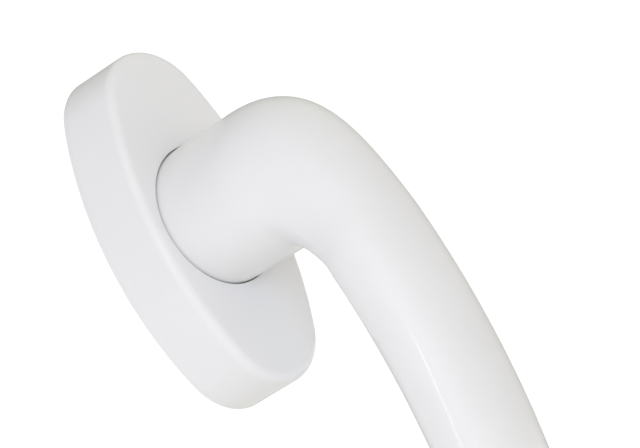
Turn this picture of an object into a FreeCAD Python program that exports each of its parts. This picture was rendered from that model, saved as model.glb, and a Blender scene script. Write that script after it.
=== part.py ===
"""Tilt-and-turn window handle: an oval rosette with a lift-off cap, and a bent lever.

Frame: the origin is on the sash face, on the lever's turning axis. +X points right
as seen from the room, +Y into the sash, +Z up. "out" is the distance from the sash
face towards the room, so y = -out. The lever hangs down, which is window closed.
Each function below makes one piece, named as its file in parts/.
"""
import FreeCAD
import Part
import math
import os

V = FreeCAD.Vector

# ---------------------------------------------------------------- driving dimensions, mm
ROSE_HALF_LENGTH = 32.0     # oval of four arcs, long way up
ROSE_HALF_WIDTH = 16.2
ROSE_END_R = 11.95          # radius of the top and bottom arcs
ROSE_DEPTH = 12.7
ROSE_DRAFT = 0.25           # how far the side wall leans in by the start of the front edge
ROSE_EDGE_R = 1.6           # soft front edge
CAP_WALL = 1.8
CAP_REAR = 0.05             # the cap just clears the sash

NECK_R = 12.88
NECK_GAP = 0.15             # between neck and the cap's hole
GRIP_HALF_THICK = 7.87      # out of the sash, at the grip's furthest point
GRIP_THICK_TAPER = 0.6      # how much less that is at the grip's end
GRIP_HALF_WIDTH = 10.68     # along X
GRIP_WIDTH_TAPER = 1.2
GRIP_R = 160.0              # outward bow of the grip's centre line
GRIP_OUT = 43.12            # centre line's furthest distance from the sash
GRIP_MID_Z = -43.6          # height of that furthest point
GRIP_END_Z = -110.0         # centre line's end, where the round tip starts
TIP_LENGTH = 8.5

# Bend: where its inner and outer lines leave the neck, how strongly each end pulls,
# how much the neck end flares, and at which angle of the grip's arc the line ends.
BEND_INNER = {"start": 28.0, "neck_pull": 2.8, "flare": 0.1, "grip_pull": 1.2, "end_degrees": 8.4}
BEND_OUTER = {"start": 26.2, "neck_pull": 13.9, "flare": 0.5, "grip_pull": 18.8, "end_degrees": 10.2}
BEND_WIDTHS = (12.2, 9.1)    # how the half-width goes from the neck's to the grip's

SCREW_SPACING = 43.0
SCREW_HOLE_R = 2.7          # clearance for M5
SCREW_HEAD_R = 4.9          # countersink's mouth
SOCKET_HALF = 3.53          # the square socket takes a 7 mm square spindle
SOCKET_END = 24.0           # how far out the socket reaches
SLEEVE_WALL = 1.1           # steel sleeve that lines the socket

# Layers of the rosette, as distances out of the sash face
PLATE_TOP = 0.8
SPIGOT_END = 1.0
CIRCLIP_REAR = 1.65
CIRCLIP_FRONT = 2.65
THRUST_REAR = 2.7
WAVE_REAR = 3.2
DISC_REAR = 3.9
DISC_FRONT = 5.5
POCKET_FLOOR = 5.6
WEB_TOP = 7.4
BASE_TOP = 8.6
HUB_TOP = 9.2
PILLAR_TOP = 9.9
FLANGE_TOP = 10.4
NECK_REAR = 10.5
LINER_REAR = 10.1
CAP_INSIDE = ROSE_DEPTH - CAP_WALL

# Radii and widths inside the rosette
BASE_INSET = CAP_WALL + 0.2  # the base's outline, measured in from the cap's
BASE_WALL = 1.5
RIM = 0.7                   # land around the closing plate
SPIGOT_R = 8.0
RUNNING_GAP = 0.06          # spigot in its bush, on the radius
FLAT_HALF = 7.0             # half the width across the spigot's two flats
GROOVE_R = 7.1
BUSH_R = 9.0
HUB_R = 11.4
FLANGE_R = 12.0
DISC_R = 10.0
WAVE_RISE = 0.38            # of the wave washer, and its thickness
WAVE_T = 0.25
PILLAR_R = 6.2
SEAT_R = 3.6                # steel screw seats in the pillars: tube, and collar for the head
SEAT_COLLAR_R = 5.5
SEAT_COLLAR_REAR = 7.2
SEAT_PLAY = 0.02
SCREW_Z = SCREW_SPACING / 2
SPRING_X = 10.55            # middle of each detent spring's strip
SPRING_T = 0.5
SPRING_HALF_LENGTH = 13.2
NOSE_R = 1.25               # middle line of the spring's rounded nose
POST_X = 5.5                # rivet posts
POST_Z = 13.0
POST_R = 2.0
RIVET_R = 1.1
CAP_CLIP_HALF = 2.0         # cap clips: half-width, thickness, places of feet and crown
CLIP_BLOCK_HALF = 4.2       # solid block of the base behind each clip
CAP_CLIP_T = 0.3
CAP_CLIP_REAR = 1.2
CAP_CLIP_FRONT = 7.8
CAP_CLIP_FOOT_Z = 28.95
CAP_CLIP_CROWN_Z = 29.5
PIN_OUT = 7.4               # pin that locks the sleeve
PIN_Z = -4.95
PIN_R = 0.75
PIN_HALF = 5.4              # half its length
GRIPPER_HALF = 1.4          # spring that grips the spindle: half-width, thickness, ends
GRIPPER_T = 0.3
GRIPPER_REAR = 5.0
GRIPPER_FRONT = 19.0
RIB_R = 0.7                 # guide ribs inside the cap
RIB_Z = 24.5
DRIVER_HOLE_R = 4.0         # in the liner, in front of each screw


# ---------------------------------------------------------------- basic shapes
def point(x, out, z):
    return V(x, -out, z)


def cylinder(r, out_0, out_1, x=0.0, z=0.0):
    return Part.makeCylinder(r, out_1 - out_0, point(x, out_0, z), V(0, -1, 0))


def cone(r_0, r_1, out_0, out_1, x=0.0, z=0.0):
    return Part.makeCone(r_0, r_1, out_1 - out_0, point(x, out_0, z), V(0, -1, 0))


def ring(r_out, r_in, out_0, out_1, x=0.0, z=0.0):
    return cylinder(r_out, out_0, out_1, x, z).cut(cylinder(r_in, out_0 - 1, out_1 + 1, x, z))


def block(x_0, x_1, out_0, out_1, z_0, z_1):
    return Part.makeBox(x_1 - x_0, out_1 - out_0, z_1 - z_0, V(x_0, -out_1, z_0))


def merge(first, others):
    """Fuse solids into one and drop the seams between coplanar faces."""
    return first.fuse(others).removeSplitter()


# ---------------------------------------------------------------- the rosette's oval
def oval_centres():
    """Radius and centre offset of the side arcs, and height of the end arcs' centres."""
    end_z = ROSE_HALF_LENGTH - ROSE_END_R
    side_r = (end_z**2 + ROSE_HALF_WIDTH**2 - ROSE_END_R**2) / (2 * (ROSE_HALF_WIDTH - ROSE_END_R))
    return side_r, side_r - ROSE_HALF_WIDTH, end_z


def oval_half_width(z, inset=0.0):
    """Half-width of the oval at height z, shrunk by inset."""
    side_r, offset, end_z = oval_centres()
    joint_z = end_z * (1 + ROSE_END_R / (side_r - ROSE_END_R))
    if abs(z) < joint_z:
        return math.sqrt((side_r - inset)**2 - z**2) - offset
    return math.sqrt((ROSE_END_R - inset)**2 - (abs(z) - end_z)**2)


def oval_wire(inset, out):
    """The oval's outline, shrunk by inset, in the plane at distance out."""
    side_r, offset, end_z = oval_centres()
    turn = math.atan2(end_z, offset)
    end_r = ROSE_END_R - inset
    x = end_r * math.cos(turn)
    z = end_z + end_r * math.sin(turn)
    half_w = ROSE_HALF_WIDTH - inset
    half_l = ROSE_HALF_LENGTH - inset
    stops = [(x, -z), (half_w, 0), (x, z), (0, half_l), (-x, z), (-half_w, 0), (-x, -z), (0, -half_l)]
    stops = [point(a, out, b) for a, b in stops + stops[:1]]
    arcs = [Part.Arc(*stops[i:i + 3]).toShape() for i in range(0, 8, 2)]
    return Part.Wire(arcs)


def oval_prism(inset, out_0, out_1):
    return Part.Face(oval_wire(inset, out_0)).extrude(V(0, out_0 - out_1, 0))


def rib_places():
    """Where the cap's four guide ribs run, on its inner wall."""
    x = oval_half_width(RIB_Z, CAP_WALL)
    return [(sx * x, sz * RIB_Z) for sx in (-1, 1) for sz in (-1, 1)]


# ---------------------------------------------------------------- cap
def cover_cap():
    """Drafted oval shell with a soft front edge, the neck's hole and four guide ribs."""
    lean = ROSE_DRAFT * ROSE_DEPTH / (ROSE_DEPTH - ROSE_EDGE_R)
    cap = Part.makeLoft([oval_wire(0, CAP_REAR), oval_wire(lean, ROSE_DEPTH)], True, True)
    front = [e for e in cap.Edges if abs(e.CenterOfMass.y + ROSE_DEPTH) < 0.01]
    cap = cap.makeFillet(ROSE_EDGE_R, front)
    cap = cap.cut(oval_prism(CAP_WALL, -1, CAP_INSIDE))
    ribs = [cylinder(RIB_R, CAP_REAR + 1, CAP_INSIDE, x, z) for x, z in rib_places()]
    cap = merge(cap, ribs)
    return cap.cut(cylinder(NECK_R + NECK_GAP, 0, ROSE_DEPTH + 1))


def cap_guide_ring():
    """Oval plastic liner behind the cap's front, whose hole centres the cap on the neck."""
    liner = oval_prism(CAP_WALL + 0.1, LINER_REAR, CAP_INSIDE)
    liner = liner.cut(cylinder(NECK_R + NECK_GAP / 2, 0, ROSE_DEPTH))
    for x, z in rib_places():
        liner = liner.cut(cylinder(RIB_R + 0.1, 0, ROSE_DEPTH, x, z))
    for z in (-SCREW_Z, SCREW_Z):
        liner = liner.cut(cylinder(DRIVER_HOLE_R, 0, ROSE_DEPTH, 0, z))
    return liner


# ---------------------------------------------------------------- base
def base_ribs():
    """Stiffening ribs on the base's front, from the hub to the pillars and the wall."""
    ribs = []
    for sz in (-1, 1):
        z_0, z_1 = sorted((sz * (HUB_R - 0.6), sz * (SCREW_Z - PILLAR_R + 0.6)))
        ribs.append(block(-1, 1, WEB_TOP - 0.2, HUB_TOP - 0.4, z_0, z_1))
        for sx in (-1, 1):
            rib = block(-0.6, 0.6, WEB_TOP - 0.2, BASE_TOP, HUB_R - 0.6, 20)
            rib.rotate(V(0, 0, 0), V(0, 1, 0), 34 * sx + (180 if sz < 0 else 0))
            ribs.append(rib.common(oval_prism(BASE_INSET + 0.5, 0, BASE_TOP)))
    return ribs


def base_plate():
    """Moulded base: wall, web, hub and screw pillars, with the works' pocket behind."""
    pocket = BASE_INSET + BASE_WALL
    base = oval_prism(BASE_INSET, 0, BASE_TOP)
    base = base.cut(oval_prism(pocket, WEB_TOP, BASE_TOP + 1))
    base = base.cut(oval_prism(pocket, -1, POCKET_FLOOR))
    base = base.cut(oval_prism(BASE_INSET + RIM, -1, PLATE_TOP))
    adds = [cylinder(HUB_R, POCKET_FLOOR, HUB_TOP)]
    adds += base_ribs()
    for sz in (-1, 1):
        adds.append(cylinder(PILLAR_R, 0, PILLAR_TOP, 0, sz * SCREW_Z))
        z_0, z_1 = sorted((sz * (SCREW_Z + 3.5), sz * (CAP_CLIP_FOOT_Z + 0.05)))
        adds.append(block(-CLIP_BLOCK_HALF, CLIP_BLOCK_HALF, PLATE_TOP, BASE_TOP, z_0, z_1))
        for sx in (-1, 1):
            adds.append(cylinder(POST_R, PLATE_TOP, POCKET_FLOOR + 0.5, sx * POST_X, sz * POST_Z))
            adds.append(spring_anchor(sx, sz))
    base = merge(base, adds)
    cuts = [cylinder(BUSH_R + 0.02, 0, PILLAR_TOP)]
    for sz in (-1, 1):
        z = sz * SCREW_Z
        cuts.append(cylinder(SEAT_R + SEAT_PLAY, -1, PILLAR_TOP + 1, 0, z))
        cuts.append(cylinder(SEAT_COLLAR_R + SEAT_PLAY, SEAT_COLLAR_REAR, PILLAR_TOP + 1, 0, z))
        z_0, z_1 = sorted((sz * (CAP_CLIP_FOOT_Z - 0.05), sz * ROSE_HALF_LENGTH))
        window = CAP_CLIP_HALF + 0.3
        cuts.append(block(-window, window, CAP_CLIP_REAR - 0.2, CAP_CLIP_FRONT + 0.2, z_0, z_1))
        for sx in (-1, 1):
            cuts.append(cylinder(RIVET_R + 0.02, -1, POCKET_FLOOR - 1, sx * POST_X, sz * POST_Z))
    cuts += [cylinder(RIB_R + 0.3, -1, BASE_TOP + 1, x, z) for x, z in rib_places()]
    for cutter in cuts:
        base = base.cut(cutter)
    return base


def screw_seat(side):
    """Steel bush in a pillar: it takes the screw's pull, and its collar holds the head."""
    z = side * SCREW_Z
    seat = cylinder(SEAT_R, 0, PILLAR_TOP, 0, z)
    seat = merge(seat, [cylinder(SEAT_COLLAR_R, SEAT_COLLAR_REAR + SEAT_PLAY, PILLAR_TOP, 0, z)])
    seat = seat.cut(cylinder(SCREW_HOLE_R, -1, PILLAR_TOP + 1, 0, z))
    sink_rear = PILLAR_TOP - SCREW_HEAD_R + SCREW_HOLE_R
    return seat.cut(cone(SCREW_HOLE_R, SCREW_HEAD_R, sink_rear, PILLAR_TOP, 0, z))


def spring_anchor(sx, sz):
    """Slotted block in the pocket that holds one end of a detent spring."""
    x_0, x_1 = sorted((sx * (SPRING_X - 0.95), sx * (SPRING_X + 0.75)))
    z_0, z_1 = sorted((sz * (SPRING_HALF_LENGTH - 1.8), sz * (SPRING_HALF_LENGTH + 1.0)))
    anchor = block(x_0, x_1, 3.2, POCKET_FLOOR + 0.5, z_0, z_1)
    half = SPRING_T / 2 + 0.05
    x_0, x_1 = sorted((sx * (SPRING_X - half), sx * (SPRING_X + half)))
    z_0, z_1 = sorted((sz * (SPRING_HALF_LENGTH - 2.2), sz * (SPRING_HALF_LENGTH + 0.1)))
    return anchor.cut(block(x_0, x_1, 3.0, POCKET_FLOOR, z_0, z_1))


def bearing_bush():
    """Flanged plastic bush: the spigot turns in it and the neck's shoulder on it."""
    bush = cylinder(BUSH_R, POCKET_FLOOR + 0.05, HUB_TOP)
    bush = merge(bush, [cylinder(FLANGE_R, HUB_TOP, FLANGE_TOP)])
    return bush.cut(cylinder(SPIGOT_R + RUNNING_GAP, 0, NECK_REAR))


def closing_plate():
    """Thin steel plate that closes the pocket and lies flush on the sash."""
    plate = oval_prism(BASE_INSET + RIM + 0.05, 0, PLATE_TOP)
    plate = plate.cut(cylinder(6.0, -1, 2))
    for sz in (-1, 1):
        plate = plate.cut(cylinder(PILLAR_R + 0.15, -1, 2, 0, sz * SCREW_Z))
        for sx in (-1, 1):
            x = sx * POST_X
            z = sz * POST_Z
            plate = plate.cut(cone(RIVET_R + 0.92, RIVET_R + 0.12, -0.1, 0.7, x, z))
            plate = plate.cut(cylinder(RIVET_R + 0.12, -1, 2, x, z))
    return plate


def closing_plate_rivets():
    """Four countersunk rivets through the closing plate into the base's posts."""
    rivets = []
    for sz in (-1, 1):
        for sx in (-1, 1):
            x = sx * POST_X
            z = sz * POST_Z
            head = cone(RIVET_R + 0.7, RIVET_R, 0, 0.7, x, z)
            rivets.append(merge(head, [cylinder(RIVET_R, 0, POCKET_FLOOR - 1.2, x, z)]))
    return Part.makeCompound(rivets)


def leaf_strip(stops, thick, width):
    """Bowed strip through three points, as thick along Z and as wide along X as given."""
    inner = Part.Arc(*stops).toShape()
    outer = inner.copy()
    outer.translate(V(0, 0, thick))
    sides = [Part.makeLine(a.Point, b.Point) for a, b in zip(inner.Vertexes, outer.Vertexes)]
    strip = Part.Face(Part.Wire(Part.sortEdges([inner, outer] + sides)[0]))
    return strip.extrude(V(width, 0, 0))


def cap_clip(side):
    """Bowed leaf spring in an end wall of the base, whose crown holds the cap."""
    middle = (CAP_CLIP_REAR + CAP_CLIP_FRONT) / 2
    ends = [(CAP_CLIP_REAR, CAP_CLIP_FOOT_Z), (middle, CAP_CLIP_CROWN_Z), (CAP_CLIP_FRONT, CAP_CLIP_FOOT_Z)]
    stops = [V(-CAP_CLIP_HALF, -out, side * z) for out, z in ends]
    return leaf_strip(stops, side * CAP_CLIP_T, 2 * CAP_CLIP_HALF)


# ---------------------------------------------------------------- detent
def detent_spring(side):
    """Leaf spring beside the disc, with a rounded nose that drops into its notches."""
    half = SPRING_T / 2
    long = SPRING_HALF_LENGTH
    out_0 = DISC_REAR + 0.05
    mid = side * SPRING_X
    spring = block(mid - half, mid + half, out_0, DISC_FRONT, -long, long)
    spring = spring.cut(cylinder(NOSE_R, 0, 9, mid, 0))
    nose = ring(NOSE_R + half, NOSE_R - half, out_0, DISC_FRONT, mid, 0)
    x_0, x_1 = sorted((mid + side * half, side * (SPRING_X - 3)))
    nose = nose.common(block(x_0, x_1, 0, 9, -3, 3))
    return merge(spring, [nose])


def detent_disc():
    """Steel disc with a notch every 90 degrees, on the spigot's two flats."""
    disc = cylinder(DISC_R, DISC_REAR, DISC_FRONT)
    bore = cylinder(SPIGOT_R + 0.03, 0, 9)
    bore = bore.common(block(-FLAT_HALF - 0.03, FLAT_HALF + 0.03, 0, 9, -9, 9))
    disc = disc.cut(bore)
    for turn in range(0, 360, 90):
        x = SPRING_X * math.cos(math.radians(turn))
        z = SPRING_X * math.sin(math.radians(turn))
        disc = disc.cut(cylinder(NOSE_R + SPRING_T / 2 + 0.15, 0, 9, x, z))
    return disc


def wave_washer():
    """Thin ring with three waves that takes up the lever's axial play."""
    halves = []
    for start in (0, 180):
        edges = []
        for r in (SPIGOT_R + 0.3, DISC_R - 0.3):
            points = []
            for degrees in range(start, start + 181, 12):
                turn = math.radians(degrees)
                out = WAVE_REAR + WAVE_RISE * (1 + math.cos(3 * turn)) / 2
                points.append(point(r * math.cos(turn), out, r * math.sin(turn)))
            curve = Part.BSplineCurve()
            curve.interpolate(points)
            edges.append(curve.toShape())
        halves.append(Part.makeRuledSurface(*edges).extrude(V(0, -WAVE_T, 0)))
    return merge(halves[0], halves[1:])


def thrust_washer():
    return ring(DISC_R - 0.2, SPIGOT_R + 0.1, THRUST_REAR, WAVE_REAR - 0.02)


def circlip():
    """Retaining ring in the spigot's groove, open at the top between two eyes."""
    clip = ring(GROOVE_R + 2.1, GROOVE_R + 0.05, CIRCLIP_REAR, CIRCLIP_FRONT)
    clip = clip.cut(block(-1.4, 1.4, 0, 9, 0, 12))
    eyes = []
    for sx in (-1, 1):
        eyes.append(cylinder(1.3, CIRCLIP_REAR, CIRCLIP_FRONT, sx * 2.4, GROOVE_R + 1.7))
    clip = merge(clip, eyes)
    for sx in (-1, 1):
        clip = clip.cut(cylinder(0.6, 0, 9, sx * 2.4, GROOVE_R + 1.9))
    return clip.cut(cylinder(GROOVE_R + 0.05, 0, 9))


# ---------------------------------------------------------------- lever
GRIP_END = math.asin((GRIP_END_Z - GRIP_MID_Z) / GRIP_R)    # angle of the grip's arc


def bezier(stops, f):
    """Cubic curve through the first and last of four stops, at fraction f."""
    weights = ((1 - f)**3, 3 * (1 - f)**2 * f, 3 * (1 - f) * f**2, f**3)
    return [sum(w * stop[i] for w, stop in zip(weights, stops)) for i in range(len(stops[0]))]


def grip_point(side, angle):
    """Point on the grip's inner (-1) or outer (1) line, by the angle of its long arc."""
    r = GRIP_R + side * (GRIP_HALF_THICK - GRIP_THICK_TAPER * angle / GRIP_END)
    return GRIP_OUT - GRIP_R + r * math.cos(angle), GRIP_MID_Z + r * math.sin(angle)


def bend_line(side):
    """Stops of the bend's inner (-1) or outer (1) line, tangent to neck and grip."""
    bend = BEND_INNER if side < 0 else BEND_OUTER
    angle = math.radians(bend["end_degrees"])
    end = grip_point(side, angle)
    above = grip_point(side, angle + 0.001)
    pull = bend["grip_pull"] / math.dist(end, above)
    neck_z = side * NECK_R
    return ((bend["start"], neck_z), (bend["start"] + bend["neck_pull"], neck_z + side * bend["flare"]),
            [e + pull * (a - e) for e, a in zip(end, above)], end)


def bend_sections(steps=14):
    """Sections from neck to grip, each an inner point, an outer point and a half-width."""
    widths = [[w] for w in (NECK_R, *BEND_WIDTHS, GRIP_HALF_WIDTH)]
    sections = []
    for k in range(steps + 1):
        f = k / steps
        sections.append((bezier(bend_line(-1), f), bezier(bend_line(1), f), bezier(widths, f)[0]))
    return sections


def settle_sections(steps=8):
    """Sections in which the bend's slanted end turns square to the grip's arc."""
    starts = [math.radians(bend["end_degrees"]) for bend in (BEND_INNER, BEND_OUTER)]
    sections = []
    for k in range(steps + 1):
        left = 1 - k / steps
        sections.append((grip_point(-1, left * starts[0]), grip_point(1, left * starts[1]), GRIP_HALF_WIDTH))
    return sections


def grip_sections(steps=12):
    """Sections square to the grip's arc, from its furthest point out to its end."""
    sections = []
    for k in range(steps + 1):
        f = k / steps
        pair = [grip_point(side, f * GRIP_END) for side in (-1, 1)]
        sections.append((*pair, GRIP_HALF_WIDTH - GRIP_WIDTH_TAPER * f * f))
    return sections


def to_section(inner, outer, half_width, depth=1.0):
    """Matrix that takes the unit circle or sphere in X and Y to a section of the lever.

    Its Y axis goes from the section's centre to the outer point and its Z axis
    down the lever, stretched by depth.
    """
    mid = V(0, -(inner[0] + outer[0]) / 2, (inner[1] + outer[1]) / 2)
    up = V(0, -(outer[0] - inner[0]) / 2, (outer[1] - inner[1]) / 2)
    along = V(half_width, 0, 0).cross(up)
    along.multiply(depth / along.Length)
    matrix = FreeCAD.Matrix()
    for row, m in enumerate(((half_width, up.x, along.x, mid.x),
                             (0, up.y, along.y, mid.y),
                             (0, up.z, along.z, mid.z))):
        for column, value in enumerate(m):
            setattr(matrix, f"A{row + 1}{column + 1}", value)
    return matrix


def section_wire(inner, outer, half_width):
    """A section's outline, in two halves that meet at its widest points."""
    halves = []
    for start in (0, math.pi):
        unit = Part.Circle(V(0, 0, 0), V(0, 0, 1), 1.0)
        arc = Part.ArcOfCircle(unit, start, start + math.pi).toShape()
        halves.append(arc.transformGeometry(to_section(inner, outer, half_width)))
    return Part.Wire(halves)


def lever():
    """Cast lever: round neck, bend, bowed oval grip with a round tip, and turned spigot."""
    root = ((NECK_REAR, -NECK_R), (NECK_REAR, NECK_R), NECK_R)
    bend = bend_sections()
    neck = Part.makeLoft([section_wire(*root), section_wire(*bend[0])], True, True)
    grip = grip_sections()
    lofts = [Part.makeLoft([section_wire(*s) for s in part], True, False, False, 3)
             for part in (bend, settle_sections(), grip)]
    ball = Part.makeSphere(1.0, V(0, 0, 0), V(0, 0, 1), 0, 90, 360)
    tip = ball.transformGeometry(to_section(*grip[-1], TIP_LENGTH))
    body = merge(neck, lofts + [tip])
    spigot = cylinder(SPIGOT_R, SPIGOT_END, NECK_REAR + 0.5)
    for sx in (-1, 1):
        x_0, x_1 = sorted((sx * FLAT_HALF, sx * (SPIGOT_R + 1)))
        spigot = spigot.cut(block(x_0, x_1, SPIGOT_END - 1, POCKET_FLOOR, -9, 9))
    spigot = spigot.cut(ring(SPIGOT_R + 1, GROOVE_R, CIRCLIP_REAR - 0.05, CIRCLIP_FRONT + 0.05))
    body = merge(body, [spigot])
    seat = SOCKET_HALF + SLEEVE_WALL
    body = body.cut(block(-seat, seat, 0, SOCKET_END, -seat, seat))
    return body.cut(cross_pin(PIN_R + 0.02, 20))


def cross_pin(r, half_length):
    """Cylinder along X that crosses the sleeve's lower wall from outside, hidden by the bush."""
    return Part.makeCylinder(r, 2 * half_length, point(-half_length, PIN_OUT, PIN_Z), V(1, 0, 0))


def sleeve_pin():
    """Grooved steel pin that locks the sleeve in the spigot."""
    return cross_pin(PIN_R, PIN_HALF)


def spindle_sleeve():
    """Square steel sleeve in the spigot, with a window above for the gripping spring."""
    outer = SOCKET_HALF + SLEEVE_WALL
    sleeve = block(-outer, outer, SPIGOT_END, SOCKET_END, -outer, outer)
    sleeve = sleeve.cut(block(-SOCKET_HALF, SOCKET_HALF, 0, SOCKET_END + 1, -SOCKET_HALF, SOCKET_HALF))
    window = GRIPPER_HALF + 0.2
    sleeve = sleeve.cut(block(-window, window, GRIPPER_REAR - 0.3, GRIPPER_FRONT + 0.3, 0, outer + 1))
    return sleeve.cut(cross_pin(PIN_R + 0.02, 20))


def spindle_gripper():
    """Bowed leaf spring in the sleeve's window that takes up the spindle's play."""
    rest_z = SOCKET_HALF + SLEEVE_WALL - GRIPPER_T
    crown_z = SOCKET_HALF - 0.25
    middle = (GRIPPER_REAR + GRIPPER_FRONT) / 2
    ends = [(GRIPPER_REAR, rest_z), (middle, crown_z), (GRIPPER_FRONT, rest_z)]
    return leaf_strip([V(-GRIPPER_HALF, -out, z) for out, z in ends], GRIPPER_T, 2 * GRIPPER_HALF)


# ---------------------------------------------------------------- output
PARTS = {
    "cover_cap": cover_cap,
    "cap_guide_ring": cap_guide_ring,
    "base_plate": base_plate,
    "screw_seat_upper": lambda: screw_seat(1),
    "screw_seat_lower": lambda: screw_seat(-1),
    "bearing_bush": bearing_bush,
    "closing_plate": closing_plate,
    "closing_plate_rivets": closing_plate_rivets,
    "cap_clip_upper": lambda: cap_clip(1),
    "cap_clip_lower": lambda: cap_clip(-1),
    "detent_spring_left": lambda: detent_spring(-1),
    "detent_spring_right": lambda: detent_spring(1),
    "lever": lever,
    "spindle_sleeve": spindle_sleeve,
    "spindle_gripper": spindle_gripper,
    "sleeve_pin": sleeve_pin,
    "detent_disc": detent_disc,
    "wave_washer": wave_washer,
    "thrust_washer": thrust_washer,
    "circlip": circlip,
}


def main():
    os.makedirs("parts", exist_ok=True)
    for name, make in PARTS.items():
        shape = make()
        solids = len(shape.Solids)
        assert shape.isValid() and solids, name
        shape.exportStep(f"parts/{name}.step")
        box = shape.BoundBox
        print(f"{name:22s} {solids} solid(s) {shape.Volume / 1000:8.3f} cm3  "
              f"x {box.XMin:6.1f} {box.XMax:6.1f}  y {box.YMin:6.1f} {box.YMax:6.1f}  "
              f"z {box.ZMin:7.1f} {box.ZMax:6.1f}")


main()
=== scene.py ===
import math

import bmesh
import bpy
from mathutils import Matrix, Vector


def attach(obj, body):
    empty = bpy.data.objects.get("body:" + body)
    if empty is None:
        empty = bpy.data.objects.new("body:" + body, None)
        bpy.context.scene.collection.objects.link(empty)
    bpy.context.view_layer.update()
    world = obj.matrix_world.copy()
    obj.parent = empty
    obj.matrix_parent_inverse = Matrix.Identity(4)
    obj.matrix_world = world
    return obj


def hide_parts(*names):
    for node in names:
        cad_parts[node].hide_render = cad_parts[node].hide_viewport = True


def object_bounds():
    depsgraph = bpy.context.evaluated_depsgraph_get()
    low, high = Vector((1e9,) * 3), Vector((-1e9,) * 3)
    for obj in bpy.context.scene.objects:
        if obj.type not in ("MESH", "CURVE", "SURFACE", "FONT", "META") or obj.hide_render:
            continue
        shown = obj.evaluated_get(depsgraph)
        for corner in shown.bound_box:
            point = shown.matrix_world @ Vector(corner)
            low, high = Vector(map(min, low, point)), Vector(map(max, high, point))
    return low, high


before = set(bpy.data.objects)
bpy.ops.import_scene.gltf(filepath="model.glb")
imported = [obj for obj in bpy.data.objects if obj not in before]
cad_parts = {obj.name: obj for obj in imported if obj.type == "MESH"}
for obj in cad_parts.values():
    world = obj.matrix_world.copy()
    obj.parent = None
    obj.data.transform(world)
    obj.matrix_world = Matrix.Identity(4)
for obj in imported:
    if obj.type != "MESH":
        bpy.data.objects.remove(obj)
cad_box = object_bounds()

# Window handle: white lever and cap, with the works inside. Sizes of the handle are in mm.
# Camera, stage, lights and textures are in metres.
# "out" is the distance from the sash face towards the room, so y = -out.
MM = 0.001
SCENE = bpy.context.scene

# The same driving sizes as the CAD's, in mm
ROSE_HALF_LENGTH = 32.0     # oval of four arcs, long way up
ROSE_HALF_WIDTH = 16.2
ROSE_END_R = 11.95          # radius of the top and bottom arcs
ROSE_DEPTH = 12.7
ROSE_DRAFT = 0.25           # how far the side wall leans in by the start of the front edge
ROSE_EDGE_R = 1.6           # soft front edge
CAP_WALL = 1.8
CAP_REAR = 0.05
CAP_INSIDE = ROSE_DEPTH - CAP_WALL
NECK_R = 12.88
NECK_GAP = 0.15             # between neck and the cap's hole
NECK_REAR = 10.5
GRIP_HALF_THICK = 7.87      # out of the sash, at the grip's furthest point
GRIP_THICK_TAPER = 0.6      # how much less that is at the grip's end
GRIP_HALF_WIDTH = 10.68     # along X
GRIP_WIDTH_TAPER = 1.2
GRIP_R = 160.0              # outward bow of the grip's centre line
GRIP_OUT = 43.12            # centre line's furthest distance from the sash
GRIP_MID_Z = -43.6          # height of that furthest point
GRIP_END_Z = -110.0         # centre line's end, where the round tip starts
TIP_LENGTH = 8.5

# Bend: where its inner and outer lines leave the neck, how strongly each end pulls,
# how much the neck end flares, and at which angle of the grip's arc the line ends
BEND_INNER = {"start": 28.0, "neck_pull": 2.8, "flare": 0.1, "grip_pull": 1.2, "end_degrees": 8.4}
BEND_OUTER = {"start": 26.2, "neck_pull": 13.9, "flare": 0.5, "grip_pull": 18.8, "end_degrees": 10.2}
BEND_WIDTHS = (12.2, 9.1)   # how the half-width goes from the neck's to the grip's

# Spigot behind the neck, with two flats, the circlip's groove and the bore for the sleeve
SPIGOT_R = 8.0
SPIGOT_END = 1.0
FLAT_HALF = 7.0
POCKET_FLOOR = 5.6          # the flats end here
GROOVE_R = 7.1
GROOVE_REAR = 1.6
GROOVE_FRONT = 2.7
SOCKET_HALF = 3.53
SLEEVE_WALL = 1.1
SOCKET_END = 24.0

# Finer than the CAD: eased edges in mm, and how many points and rings make the two skins
HOLE_EASE = 0.3
NECK_EASE = 0.3             # off the radius
NECK_EASE_OUT = 0.2         # along the axis
LIP_EASE = 0.15             # at the cap's rear edge, which two short slopes round off
LIP_EASE_STEP = 0.04
LEVER_COUNT = 96
CAP_COUNT = 192
NECK_STEPS = 14
BEND_STEPS = 44
BLEND_STEPS = 18
GRIP_STEPS = 36
TIP_STEPS = 18
WALL_STEPS = 8
EDGE_STEPS = 10
FLAT_STEPS = 10
HOLE_STEPS = 4
EDGE_REACH = 1.15           # width of the edge's rings in edge radii, and at most this share
EDGE_MAX_SHARE = 0.8        # of the way to the hole
HOLE_AIM_INSET = 1.0        # the hole's points face those of the oval this far inside
SMALL_TURN = 0.001          # of the grip's arc, for its direction at the bend
SHARP_DEGREES = 40          # faces that meet more steeply than this keep a sharp edge

# The photograph's camera: angles in degrees, the rest in metres, the lens in mm
VIEW_AZIMUTH = 51.05
VIEW_ELEVATION = -5.32
VIEW_ROLL = 27.06
VIEW_DISTANCE = 0.4677
SHIFT_RIGHT = -0.02638
SHIFT_UP = -0.00333
SENSOR_WIDTH = 36.0
LENS = 150.6

# Colour of the cap and the lever, and heights of the textures' bumps, in metres
WHITE = (0.80, 0.80, 0.805)
PEEL_HEIGHT = 0.00002
SPECK_HEIGHT = 0.000004
GRAIN_HEIGHT = 0.00002
MOULD_HEIGHT = 0.00001

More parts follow.
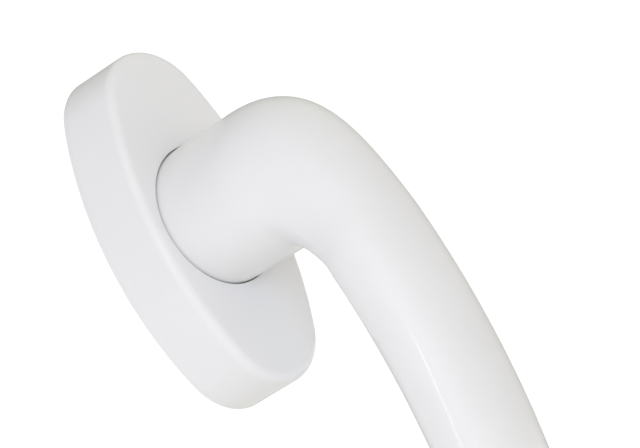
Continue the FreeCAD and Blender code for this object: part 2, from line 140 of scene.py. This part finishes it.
# Stage and lights, in metres and watts. The floor ends where the soft lights stand.
FLOOR_DROP = 0.03
FLOOR_R = 0.95
FLOOR_COUNT = 128
LIGHTS_MID = (0, -0.025, -0.03)
SOFT_SIZE = (0.7, 0.7)
STRIP_START = (59.5, 5.0)   # azimuth and elevation in degrees
STRIP_END = (84.0, -10.5)
STRIP_WIDTH = 0.03
STRIP_POWER = 0.28


# ------------------------------------------------------------------ camera
def place_camera():
    """The photograph's view: from the left and a little below, with the camera rolled."""
    azimuth, elevation, roll = (math.radians(a) for a in (VIEW_AZIMUTH, VIEW_ELEVATION, VIEW_ROLL))
    back = Vector((-math.sin(azimuth) * math.cos(elevation),
                   -math.cos(azimuth) * math.cos(elevation), math.sin(elevation)))
    level = Vector((0, 0, 1)).cross(back).normalized()
    above = back.cross(level)
    right = math.cos(roll) * level - math.sin(roll) * above
    up = math.sin(roll) * level + math.cos(roll) * above
    data = bpy.data.cameras.new("camera")
    data.sensor_width = SENSOR_WIDTH
    data.lens = LENS
    data.clip_start = 0.01
    camera = bpy.data.objects.new("camera", data)
    SCENE.collection.objects.link(camera)
    camera.matrix_world = Matrix((right, up, back)).transposed().to_4x4()
    camera.location = VIEW_DISTANCE * back - SHIFT_RIGHT * right - SHIFT_UP * up
    SCENE.camera = camera


# ------------------------------------------------------------------ meshes from rings
def mesh_object(name, points, faces):
    """A smooth-shaded mesh from points in mm, with sharp edges where faces meet steeply."""
    mesh = bpy.data.meshes.new(name)
    mesh.from_pydata([Vector(p) * MM for p in points], [], faces)
    bm = bmesh.new()
    bm.from_mesh(mesh)
    bmesh.ops.recalc_face_normals(bm, faces=bm.faces)
    bm.to_mesh(mesh)
    bm.free()
    mesh.shade_smooth()
    mesh.set_sharp_from_angle(angle=math.radians(SHARP_DEGREES))
    piece = bpy.data.objects.new(name, mesh)
    SCENE.collection.objects.link(piece)
    return piece


def skin(rings, closed=False):
    """Points and faces of a skin over rings of the same count."""
    count = len(rings[0])
    points = [p for ring in rings for p in ring]
    last = len(rings) if closed else len(rings) - 1
    faces = []
    for i in range(last):
        a = i * count
        b = (i + 1) % len(rings) * count
        for k in range(count):
            n = (k + 1) % count
            faces.append((a + k, a + n, b + n, b + k))
    return points, faces


def close_end(points, faces, base, count, tip):
    """Adds a fan of triangles from the ring that starts at base to one tip point."""
    points.append(tip)
    faces += [(base + k, base + (k + 1) % count, len(points) - 1) for k in range(count)]


# ------------------------------------------------------------------ lever
GRIP_END = math.asin((GRIP_END_Z - GRIP_MID_Z) / GRIP_R)


def bezier(stops, f):
    """Point on a cubic curve, where f runs from 0 to 1."""
    weights = ((1 - f)**3, 3 * (1 - f)**2 * f, 3 * (1 - f) * f**2, f**3)
    return [sum(w * stop[i] for w, stop in zip(weights, stops)) for i in range(len(stops[0]))]


def grip_point(side, angle):
    """Point (out, z) on the grip's inner (-1) or outer (1) line, by angle on the grip's arc."""
    r = GRIP_R + side * (GRIP_HALF_THICK - GRIP_THICK_TAPER * angle / GRIP_END)
    return GRIP_OUT - GRIP_R + r * math.cos(angle), GRIP_MID_Z + r * math.sin(angle)


def bend_line(side):
    """Four stops of the bend's inner or outer curve, from the neck to the grip's line."""
    bend = BEND_INNER if side < 0 else BEND_OUTER
    angle = math.radians(bend["end_degrees"])
    end = grip_point(side, angle)
    above = grip_point(side, angle + SMALL_TURN)
    pull = bend["grip_pull"] / math.dist(end, above)
    neck_z = side * NECK_R
    return ((bend["start"], neck_z), (bend["start"] + bend["neck_pull"], neck_z + side * bend["flare"]),
            [e + pull * (a - e) for e, a in zip(end, above)], end)


def lever_sections():
    """Inner point, outer point (out, z) and half-width of each section, down the lever."""
    sections = []
    for k in range(NECK_STEPS):
        f = k / NECK_STEPS
        pair = [(NECK_REAR + f * (bend["start"] - NECK_REAR), side * NECK_R)
                for side, bend in ((-1, BEND_INNER), (1, BEND_OUTER))]
        sections.append((*pair, NECK_R))
    widths = [[w] for w in (NECK_R, *BEND_WIDTHS, GRIP_HALF_WIDTH)]
    for k in range(BEND_STEPS):
        f = k / BEND_STEPS
        sections.append((bezier(bend_line(-1), f), bezier(bend_line(1), f), bezier(widths, f)[0]))
    starts = [math.radians(bend["end_degrees"]) for bend in (BEND_INNER, BEND_OUTER)]
    for k in range(BLEND_STEPS):
        left = 1 - k / BLEND_STEPS
        pair = [grip_point(side, left * start) for side, start in zip((-1, 1), starts)]
        sections.append((*pair, GRIP_HALF_WIDTH))
    for k in range(GRIP_STEPS + 1):
        f = k / GRIP_STEPS
        pair = [grip_point(side, f * GRIP_END) for side in (-1, 1)]
        sections.append((*pair, GRIP_HALF_WIDTH - GRIP_WIDTH_TAPER * f * f))
    return sections


def section_ring(inner, outer, half_width, count, scale=1.0, along=0.0):
    """Ring of points round a section, scaled, and moved down the lever by along."""
    mid = ((inner[0] + outer[0]) / 2, (inner[1] + outer[1]) / 2)
    half = ((outer[0] - inner[0]) / 2, (outer[1] - inner[1]) / 2)
    size = math.hypot(*half)
    down = (half[1] / size, -half[0] / size)
    ring = []
    for k in range(count):
        t = 2 * math.pi * k / count
        x = half_width * scale * math.cos(t)
        s = scale * math.sin(t)
        ring.append((x, -(mid[0] + s * half[0] + along * down[0]), mid[1] + s * half[1] + along * down[1]))
    return ring


def round_ring(r, out, count, half_x=math.inf):
    """Ring round the spindle's axis, cut by two flats at half_x from the axis."""
    ring = []
    for k in range(count):
        t = 2 * math.pi * k / count
        ring.append((max(-half_x, min(half_x, r * math.cos(t))), -out, r * math.sin(t)))
    return ring


def square_ring(half, out, count):
    """Square ring round the spindle's axis, with its sides at half from the axis."""
    ring = []
    for k in range(count):
        t = 2 * math.pi * k / count
        s = half / max(abs(math.cos(t)), abs(math.sin(t)))
        ring.append((s * math.cos(t), -out, s * math.sin(t)))
    return ring


def make_lever():
    """The lever as one smooth skin, from the square bore behind to the grip's tip."""
    count = LEVER_COUNT
    bore_half = SOCKET_HALF + SLEEVE_WALL
    rings = [square_ring(bore_half, out, count) for out in (SOCKET_END, SPIGOT_END)]
    for r, rear, front in ((SPIGOT_R, SPIGOT_END, GROOVE_REAR),
                           (GROOVE_R, GROOVE_REAR, GROOVE_FRONT),
                           (SPIGOT_R, GROOVE_FRONT, POCKET_FLOOR)):
        rings += [round_ring(r, out, count, half_x=FLAT_HALF) for out in (rear, front)]
    rings += [round_ring(SPIGOT_R, out, count) for out in (POCKET_FLOOR, NECK_REAR)]
    rings.append(round_ring(NECK_R - NECK_EASE, NECK_REAR, count))
    rings.append(round_ring(NECK_R, NECK_REAR + NECK_EASE_OUT, count))
    sections = lever_sections()
    rings += [section_ring(*s, count) for s in sections[1:]]
    for k in range(1, TIP_STEPS):
        turn = math.pi / 2 * k / TIP_STEPS
        rings.append(section_ring(*sections[-1], count, math.cos(turn), TIP_LENGTH * math.sin(turn)))
    points, faces = skin(rings)
    close_end(points, faces, 0, count, (0.0, -SOCKET_END, 0.0))
    tip = section_ring(*sections[-1], count, 0.0, TIP_LENGTH)[0]
    close_end(points, faces, (len(rings) - 1) * count, count, tip)
    return mesh_object("lever_casting", points, faces)


# ------------------------------------------------------------------ cap
def oval_arcs():
    """Side arc's radius, its centre's distance beyond the middle, and the end arcs' centre height."""
    end_z = ROSE_HALF_LENGTH - ROSE_END_R
    side_r = (end_z**2 + ROSE_HALF_WIDTH**2 - ROSE_END_R**2) / (2 * (ROSE_HALF_WIDTH - ROSE_END_R))
    return side_r, side_r - ROSE_HALF_WIDTH, end_z


def oval_inset(x, z):
    """How far a point lies inside the cap's outline."""
    side_r, offset, end_z = oval_arcs()
    x, z = abs(x), abs(z)
    if z * offset > end_z * (x + offset):
        return ROSE_END_R - math.hypot(x, z - end_z)
    return side_r - math.hypot(x + offset, z)


def oval_ring(inset, out, count):
    """The outline shrunk by inset, with points evenly spaced in arc length."""
    side_r, offset, end_z = oval_arcs()
    turn = math.atan2(end_z, offset)
    side_len = side_r * turn
    quarter = side_len + ROSE_END_R * (math.pi / 2 - turn)
    ring = []
    for k in range(count):
        s = 4 * k / count
        quad = int(s)
        along = (s - quad if quad % 2 == 0 else 1 - s + quad) * quarter
        if along < side_len:
            a = along / side_r
            x, z = (side_r - inset) * math.cos(a) - offset, (side_r - inset) * math.sin(a)
        else:
            a = turn + (along - side_len) / ROSE_END_R
            x, z = (ROSE_END_R - inset) * math.cos(a), end_z + (ROSE_END_R - inset) * math.sin(a)
        ring.append((x if quad in (0, 3) else -x, -out, z if quad < 2 else -z))
    return ring


def front_out(x, z):
    """How far out the cap's front is at a point: flat, and round towards the outline."""
    depth = oval_inset(x, z) - ROSE_DRAFT
    if depth >= ROSE_EDGE_R:
        return ROSE_DEPTH
    fall = ROSE_EDGE_R - max(depth, 0.0)
    return ROSE_DEPTH - ROSE_EDGE_R + math.sqrt(ROSE_EDGE_R**2 - fall**2)


def hole_ring(r, out, count):
    """Ring round the neck's hole, whose points face those of the oval rings.

    Where out is None, the ring lies on the cap's front.
    """
    ring = []
    for x, _, z in oval_ring(HOLE_AIM_INSET, 0, count):
        size = math.hypot(x, z)
        px, pz = r * x / size, r * z / size
        ring.append((px, -(front_out(px, pz) if out is None else out), pz))
    return ring


def front_rings(count):
    """Rings over the soft edge and the flat front, from the side wall to the hole."""
    outer = oval_ring(ROSE_DRAFT, 0, count)
    inner = hole_ring(NECK_R + NECK_GAP + HOLE_EASE, 0, count)
    rings = []
    for step in range(1, EDGE_STEPS + FLAT_STEPS + 1):
        ring = []
        for (x_0, _, z_0), (x_1, _, z_1) in zip(outer, inner):
            width = math.hypot(x_1 - x_0, z_1 - z_0)
            edge = min(ROSE_EDGE_R * EDGE_REACH, width * EDGE_MAX_SHARE) / width
            if step <= EDGE_STEPS:
                f = edge * (1 - math.cos(math.pi / 2 * step / EDGE_STEPS))
            else:
                f = edge + (1 - edge) * (step - EDGE_STEPS) / FLAT_STEPS
            x, z = x_0 + f * (x_1 - x_0), z_0 + f * (z_1 - z_0)
            ring.append((x, -front_out(x, z), z))
        rings.append(ring)
    return rings


def make_cap():
    """The cap as one closed skin: outside, front, hole and inside, with eased edges."""
    count = CAP_COUNT
    hole_r = NECK_R + NECK_GAP
    rings = [oval_ring(LIP_EASE, CAP_REAR, count)]
    rings.append(oval_ring(LIP_EASE_STEP, CAP_REAR + LIP_EASE_STEP, count))
    wall_rear = CAP_REAR + LIP_EASE
    wall_front = ROSE_DEPTH - ROSE_EDGE_R
    for k in range(WALL_STEPS + 1):
        out = wall_rear + k / WALL_STEPS * (wall_front - wall_rear)
        rings.append(oval_ring(ROSE_DRAFT * out / wall_front, out, count))
    rings += front_rings(count)
    for k in range(1, HOLE_STEPS + 1):
        a = math.pi / 2 * k / HOLE_STEPS
        ring = []
        rim = hole_ring(hole_r + HOLE_EASE * (1 - math.sin(a)), None, count)
        for x, y, z in rim:
            ring.append((x, y + HOLE_EASE * (1 - math.cos(a)), z))
        rings.append(ring)
    rings.append(hole_ring(hole_r, CAP_INSIDE, count))
    rings.append(oval_ring(CAP_WALL, CAP_INSIDE, count))
    rings.append(oval_ring(CAP_WALL, CAP_REAR, count))
    return mesh_object("cap_shell", *skin(rings, closed=True))


# ------------------------------------------------------------------ materials
def new_material(name, **sockets):
    """A Principled material whose constant sockets are set directly."""
    material = bpy.data.materials.new(name)
    material.use_nodes = True
    shader = material.node_tree.nodes["Principled BSDF"]
    for socket, value in sockets.items():
        shader.inputs[socket.replace("_", " ")].default_value = value
    return material, shader


def add_noise(material, scale, detail, stretch=(1, 1, 1), warp=0.0):
    """Noise over the object's own coordinates, in metres, as a factor output."""
    tree = material.node_tree
    place = tree.nodes.new("ShaderNodeTexCoord")
    shape = tree.nodes.new("ShaderNodeMapping")
    shape.inputs["Scale"].default_value = stretch
    tree.links.new(place.outputs["Object"], shape.inputs["Vector"])
    noise = tree.nodes.new("ShaderNodeTexNoise")
    noise.inputs["Scale"].default_value = scale
    noise.inputs["Detail"].default_value = detail
    noise.inputs["Distortion"].default_value = warp
    tree.links.new(shape.outputs["Vector"], noise.inputs["Vector"])
    return noise.outputs["Fac"]


def add_range(material, factor, low, high, start=0.3, end=0.7):
    """A factor spread from low to high."""
    node = material.node_tree.nodes.new("ShaderNodeMapRange")
    for socket, value in (("From Min", start), ("From Max", end), ("To Min", low), ("To Max", high)):
        node.inputs[socket].default_value = value
    material.node_tree.links.new(factor, node.inputs["Value"])
    return node.outputs["Result"]


def add_ramp(material, factor, *stops):
    """A colour ramp with (place, colour) stops."""
    node = material.node_tree.nodes.new("ShaderNodeValToRGB")
    ramp = node.color_ramp
    while len(ramp.elements) < len(stops):
        ramp.elements.new(0.5)
    for element, (place, colour) in zip(ramp.elements, stops):
        element.position = place
        element.color = (*colour, 1)
    material.node_tree.links.new(factor, node.inputs["Fac"])
    return node.outputs["Color"]


def add_bumps(material, shader, *layers):
    """Stacked bump layers, each a height factor, a strength and a distance in metres."""
    tree = material.node_tree
    below = None
    for factor, strength, distance in layers:
        bump = tree.nodes.new("ShaderNodeBump")
        bump.inputs["Strength"].default_value = strength
        bump.inputs["Distance"].default_value = distance
        tree.links.new(factor, bump.inputs["Height"])
        if below:
            tree.links.new(below, bump.inputs["Normal"])
        below = bump.outputs["Normal"]
    tree.links.new(below, shader.inputs["Normal"])


def darkened(colour, share):
    """A colour with a share of its light taken away."""
    return tuple(c * (1 - share) for c in colour)


def white_finish(name, colour, roughness, peel):
    """Glossy white with a faint colour drift, uneven gloss and orange peel."""
    material, shader = new_material(name, Coat_Weight=0.5, Coat_Roughness=0.07, IOR=1.5)
    link = material.node_tree.links.new
    drift = add_noise(material, scale=70, detail=3.0)
    tint = add_ramp(material, drift, (0.35, darkened(colour, 0.015)), (0.65, colour))
    link(tint, shader.inputs["Base Color"])
    patches = add_noise(material, scale=160, detail=4.0, warp=0.4)
    gloss = add_range(material, patches, roughness - 0.02, roughness + 0.03, start=0.1, end=0.9)
    link(gloss, shader.inputs["Roughness"])
    wide = add_noise(material, scale=330, detail=1.0)
    fine = add_noise(material, scale=1500, detail=0.0)
    add_bumps(material, shader, (wide, peel, PEEL_HEIGHT), (fine, peel * 0.5, SPECK_HEIGHT))
    return material


def metal_finish(name, colour, roughness, grain=(1, 1, 1), grain_scale=900, contrast=0.12):
    """Bare or plated metal with a grain, uneven gloss and slight staining."""
    material, shader = new_material(name, Metallic=1.0)
    link = material.node_tree.links.new
    stain = add_noise(material, scale=260, detail=5.0, warp=0.6)
    tint = add_ramp(material, stain, (0.32, darkened(colour, contrast)), (0.68, colour))
    link(tint, shader.inputs["Base Color"])
    streaks = add_noise(material, scale=grain_scale, detail=4.0, stretch=grain)
    gloss = add_range(material, streaks, roughness - 0.08, roughness + 0.12)
    link(gloss, shader.inputs["Roughness"])
    add_bumps(material, shader, (streaks, 0.25, GRAIN_HEIGHT))
    return material


def plastic_finish(name, colour, roughness):
    """Unpainted engineering plastic with flow marks."""
    material, shader = new_material(name, Subsurface_Weight=0.05)
    link = material.node_tree.links.new
    flow = add_noise(material, scale=180, detail=3.0, warp=1.2)
    tint = add_ramp(material, flow, (0.3, darkened(colour, 0.06)), (0.7, colour))
    link(tint, shader.inputs["Base Color"])
    gloss = add_range(material, flow, roughness - 0.05, roughness + 0.08)
    link(gloss, shader.inputs["Roughness"])
    fine = add_noise(material, scale=1500, detail=2.0)
    add_bumps(material, shader, (fine, 0.2, MOULD_HEIGHT))
    return material


def floor_finish(name, dark, light):
    """Matt grey with a faint drift between two tones."""
    material, shader = new_material(name, Roughness=0.9)
    tone = add_noise(material, scale=6, detail=3.0)
    tint = add_ramp(material, tone, (0.3, (dark,) * 3), (0.7, (light,) * 3))
    material.node_tree.links.new(tint, shader.inputs["Base Color"])
    return material


def dress(piece, material):
    """Gives a piece one material in place of those it has."""
    piece.data.materials.clear()
    piece.data.materials.append(material)


# ------------------------------------------------------------------ stage and light
def make_stage(floor_z):
    """A plain pale round floor, which ends where the soft lights stand."""
    mesh = bpy.data.meshes.new("floor")
    turns = [2 * math.pi * k / FLOOR_COUNT for k in range(FLOOR_COUNT)]
    rim = [(FLOOR_R * math.cos(turn), FLOOR_R * math.sin(turn), floor_z) for turn in turns]
    mesh.from_pydata(rim, [], [tuple(range(FLOOR_COUNT))])
    floor = bpy.data.objects.new("floor", mesh)
    SCENE.collection.objects.link(floor)
    dress(floor, floor_finish("floor_pale", 0.86, 0.88))


def add_area(name, direction, size, power, colour=(1.0, 1.0, 1.0), glossy=False):
    """A soft light that shines on the handle from a direction, one metre away.

    Only a glossy one is mirrored in the gloss, because the real lights lie
    behind a white tent that shows no edges.
    """
    data = bpy.data.lights.new(name, "AREA")
    data.shape = "RECTANGLE"
    data.size, data.size_y = size
    data.energy = power
    data.color = colour
    light = bpy.data.objects.new(name, data)
    SCENE.collection.objects.link(light)
    direction = Vector(direction).normalized()
    light.location = Vector(LIGHTS_MID) + direction
    light.rotation_euler = direction.to_track_quat("Z", "Y").to_euler()
    light.visible_glossy = glossy
    return light


def add_strip(name, start, end, width, power):
    """A thin light, one metre away, between two directions: its mirror image is a streak."""
    start, end = Vector(start).normalized(), Vector(end).normalized()
    strip = add_area(name, start + end, ((end - start).length, width), power, glossy=True)
    outward = (start + end).normalized()
    along = (end - start).normalized()
    across = outward.cross(along)
    strip.rotation_euler = Matrix((along, across, outward)).transposed().to_euler()


def direction_at(azimuth, elevation):
    """Direction from the handle, by degrees from straight out towards -X, and up."""
    a, e = math.radians(azimuth), math.radians(elevation)
    return -math.sin(a) * math.cos(e), -math.cos(a) * math.cos(e), math.sin(e)


# The sky's strength and colour as light, as seen in the gloss, and as seen directly
SKY = (("sky", 0.56, (0.995, 0.978, 0.925), None),
       ("mirrored", 0.37, (0.985, 1.0, 0.93), "Is Glossy Ray"),
       ("seen", 1.05, (1.0, 1.0, 1.0), "Is Camera Ray"))
# Direction, power and colour of the soft lights: white from behind, cool from the front left,
# the right and the back left, and warm from the left, from above right and from the front
SOFT_LIGHTS = (((0, 1, 0), 5.0, (1.0, 1.0, 1.0)),
               ((-1, -1, 0), 6.1, (0.79, 0.84, 1.0)),
               ((-1, 0, 0), 1.45, (1.0, 0.90, 0.74)),
               ((1, 0, 0), 4.0, (0.84, 0.84, 1.0)),
               ((1, 0, 1), 3.0, (0.965, 1.0, 0.8)),
               ((0, -1, 0), 1.0, (1.0, 0.75, 0.45)),
               ((-1, 1, 0), 1.6, (0.72, 0.66, 1.0)))


def light_scene():
    """White tent, which looks brighter than it shines, and soft lights behind it."""
    world = bpy.data.worlds.new("studio")
    SCENE.world = world
    world.use_nodes = True
    nodes, links = world.node_tree.nodes, world.node_tree.links
    path = nodes.new("ShaderNodeLightPath")
    shader = None
    for name, strength, colour, ray in SKY:
        tone = nodes.new("ShaderNodeBackground")
        tone.name = name
        tone.inputs["Color"].default_value = (*colour, 1)
        tone.inputs["Strength"].default_value = strength
        if ray:
            mix = nodes.new("ShaderNodeMixShader")
            links.new(path.outputs[ray], mix.inputs["Fac"])
            links.new(shader, mix.inputs[1])
            links.new(tone.outputs["Background"], mix.inputs[2])
            shader = mix.outputs["Shader"]
        else:
            shader = tone.outputs["Background"]
    links.new(shader, nodes["World Output"].inputs["Surface"])
    for k, (direction, power, colour) in enumerate(SOFT_LIGHTS):
        add_area(f"soft_{k}", direction, SOFT_SIZE, power, colour)
    add_strip("strip", direction_at(*STRIP_START), direction_at(*STRIP_END), STRIP_WIDTH, STRIP_POWER)
    SCENE.view_settings.view_transform = "Standard"


# ------------------------------------------------------------------ build
place_camera()

white_coat = white_finish("white_coat", WHITE, roughness=0.31, peel=0.35)
white_plastic = white_finish("white_plastic", WHITE, roughness=0.33, peel=0.25)
sheet = metal_finish("rolled_sheet", (0.63, 0.63, 0.62), roughness=0.32, grain=(1, 1, 0.06))
spring = metal_finish("spring_steel", (0.20, 0.20, 0.22), roughness=0.30, contrast=0.2)
plated = metal_finish("zinc_plated", (0.68, 0.67, 0.63), roughness=0.28, grain_scale=600)
acetal = plastic_finish("acetal", (0.86, 0.84, 0.78), roughness=0.42)
nylon = plastic_finish("nylon", (0.74, 0.73, 0.70), roughness=0.5)
moulding = plastic_finish("glass_filled_nylon", (0.045, 0.046, 0.05), roughness=0.55)

DRESSED = (
    (white_coat, ("lever",)),
    (white_plastic, ("cover_cap",)),
    (nylon, ("cap_guide_ring",)),
    (acetal, ("bearing_bush",)),
    (moulding, ("base_plate",)),
    (sheet, ("closing_plate", "detent_disc", "thrust_washer")),
    (plated, ("closing_plate_rivets", "screw_seat_upper", "screw_seat_lower",
              "spindle_sleeve", "sleeve_pin")),
    (spring, ("cap_clip_upper", "cap_clip_lower", "detent_spring_left", "detent_spring_right",
              "spindle_gripper", "wave_washer", "circlip")),
)
for material, nodes in DRESSED:
    for node in nodes:
        dress(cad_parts[node], material)

lever = make_lever()
dress(lever, white_coat)
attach(lever, "lever")
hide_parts("lever")

cap = make_cap()
dress(cap, white_plastic)
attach(cap, "cap")
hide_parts("cover_cap")

make_stage(cad_box[0][2] - FLOOR_DROP)
light_scene()
